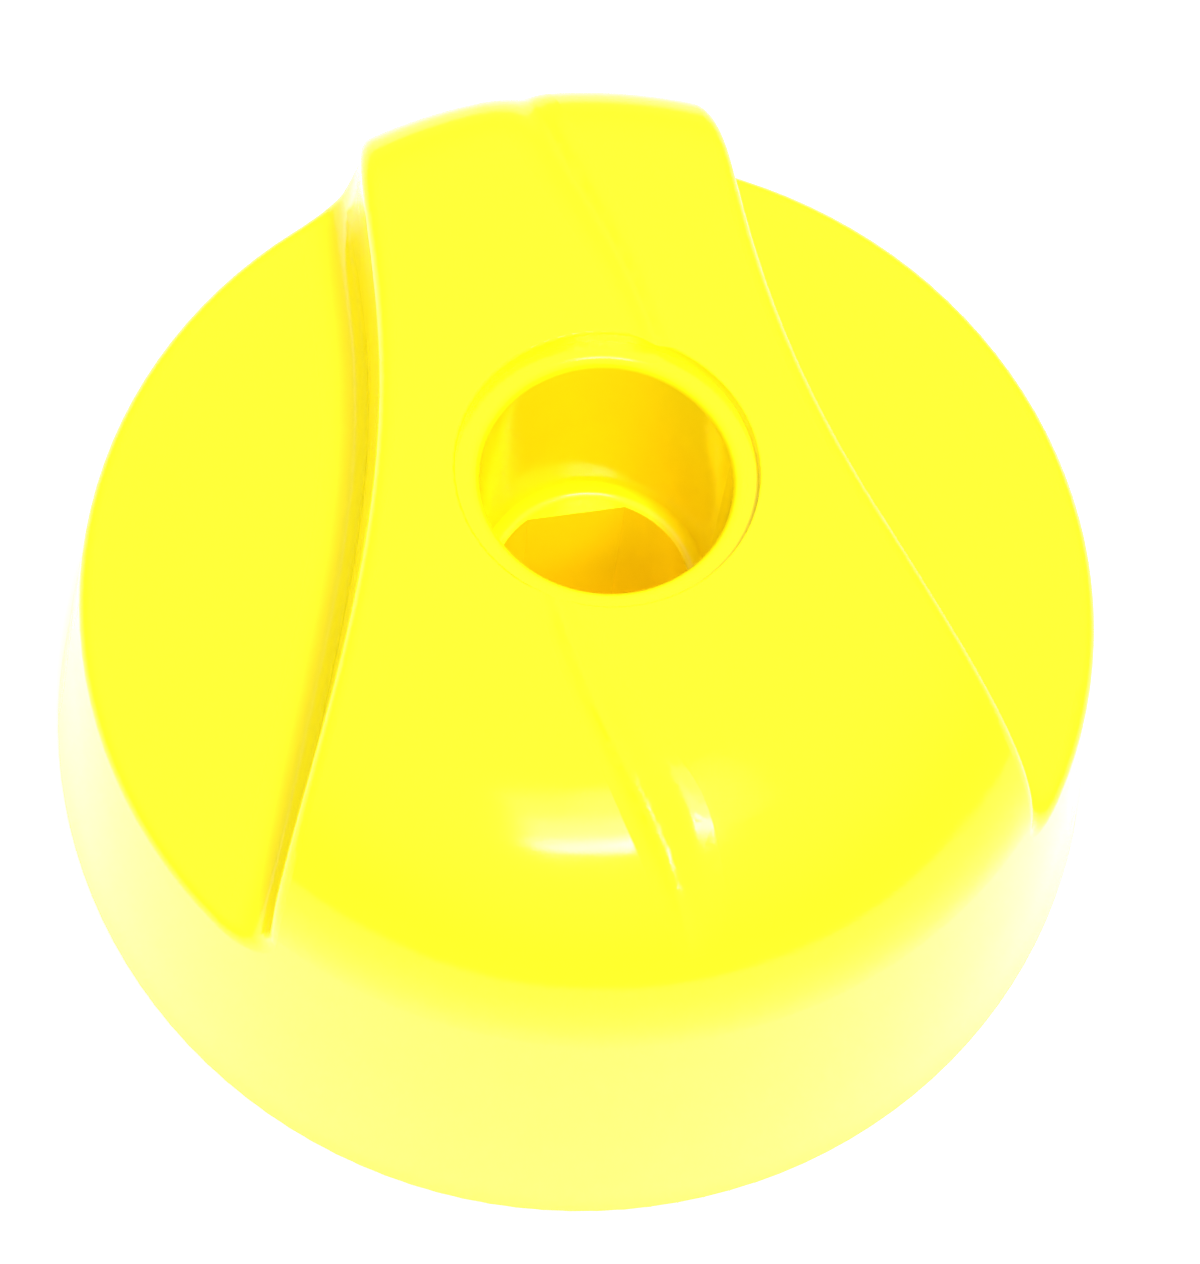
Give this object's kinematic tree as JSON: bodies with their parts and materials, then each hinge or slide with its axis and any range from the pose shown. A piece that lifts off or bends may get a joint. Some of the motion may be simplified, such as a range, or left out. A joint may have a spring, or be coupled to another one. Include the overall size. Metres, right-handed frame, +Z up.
{
  "type": "round control knob with tapered grip",
  "caption": "Round skirted hand knob with a raised tapered grip across its deck, a central screw well and a keyed hub sleeve with a D-shaped shaft socket.",
  "frame": {"origin": "centre of the skirt's bottom rim, on the surface that it stands on", "axes": "+Z up along the knob's turning axis, +Y towards the grip's narrow end, +X to its right"},
  "size_m": [0.0676, 0.0676, 0.0332],
  "materials": {
    "shell_plastic": "glossy bright yellow moulding",
    "hub_plastic": "glossy bright yellow moulding",
    "spring_steel": "rolled spring steel",
    "hoop_steel": "bright zinc plated"
  },
  "bodies": {
    "root": {"knob_shell": "shell_plastic", "hub_sleeve": "hub_plastic", "sleeve_retainer": "spring_steel", "hub_hoop": "hoop_steel", "shaft_spring": "spring_steel"}
  },
  "joints": []
}
